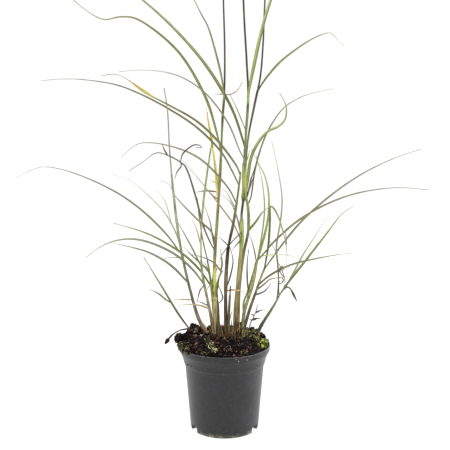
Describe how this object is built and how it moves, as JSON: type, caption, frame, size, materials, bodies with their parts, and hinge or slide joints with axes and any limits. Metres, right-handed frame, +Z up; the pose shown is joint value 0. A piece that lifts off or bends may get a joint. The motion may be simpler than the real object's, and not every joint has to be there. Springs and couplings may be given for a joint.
{
  "type": "potted ornamental grass",
  "caption": "Tall slender ornamental grass clump with arching narrow blades, rooted in mounded compost in a round plastic nursery pot.",
  "frame": {"origin": "centre of the pot's flat underside", "axes": "+Z up along the pot's axis, +X to the right and +Y away from the viewer in the picture's view"},
  "size_m": [0.6926, 0.4407, 0.901],
  "materials": {
    "pot_plastic": "dark grey moulded plastic, satin, lightly scuffed",
    "compost": "crumbly dark brown peat and bark compost",
    "culm": "smooth straw, green and purple-brown grass stems",
    "leaf": "matt olive green to grey-green grass blades, straw coloured where dry",
    "moss": "soft yellow-green moss",
    "dry_root": "dry brown root"
  },
  "bodies": {
    "root": {"compost_clod": "compost", "culm_brown_inner": "culm", "culm_centre_short": "culm", "culm_dead_stub": "culm", "culm_flowering_left": "culm", "culm_flowering_middle": "culm", "culm_flowering_right": "culm", "culm_green_inner": "culm", "culm_left_outer": "culm", "culm_olive_inner": "culm", "culm_right_green": "culm", "culm_right_olive": "culm", "culm_right_outer": "culm", "dry_root": "dry_root", "leaf_lower_left_1": "leaf", "leaf_lower_left_2": "leaf", "leaf_lower_left_3": "leaf", "leaf_lower_left_4": "leaf", "leaf_lower_left_5": "leaf", "leaf_lower_left_6": "leaf", "leaf_lower_left_7": "leaf", "leaf_lower_left_8": "leaf", "leaf_lower_right_1": "leaf", "leaf_lower_right_2": "leaf", "leaf_lower_right_3": "leaf", "leaf_lower_right_4": "leaf", "leaf_middle_left_1": "leaf", "leaf_middle_left_2": "leaf", "leaf_middle_left_3": "leaf", "leaf_middle_left_4": "leaf", "leaf_middle_left_5": "leaf", "leaf_middle_left_6": "leaf", "leaf_middle_left_7": "leaf", "leaf_middle_left_8": "leaf", "leaf_middle_left_9": "leaf", "leaf_middle_right_1": "leaf", "leaf_middle_right_2": "leaf", "leaf_middle_right_3": "leaf", "leaf_middle_right_4": "leaf", "leaf_middle_right_5": "leaf", "leaf_middle_right_6": "leaf", "leaf_middle_right_7": "leaf", "leaf_middle_right_8": "leaf", "leaf_upper_left_1": "leaf", "leaf_upper_left_2": "leaf", "leaf_upper_left_3": "leaf", "leaf_upper_left_4": "leaf", "leaf_upper_left_5": "leaf", "leaf_upper_left_6": "leaf", "leaf_upper_left_7": "leaf", "leaf_upper_right_1": "leaf", "leaf_upper_right_2": "leaf", "leaf_upper_right_3": "leaf", "leaf_upper_right_4": "leaf", "leaf_upper_right_5": "leaf", "moss_left": "moss", "moss_right": "moss", "pot": "pot_plastic", "soil": "compost"}
  },
  "joints": []
}
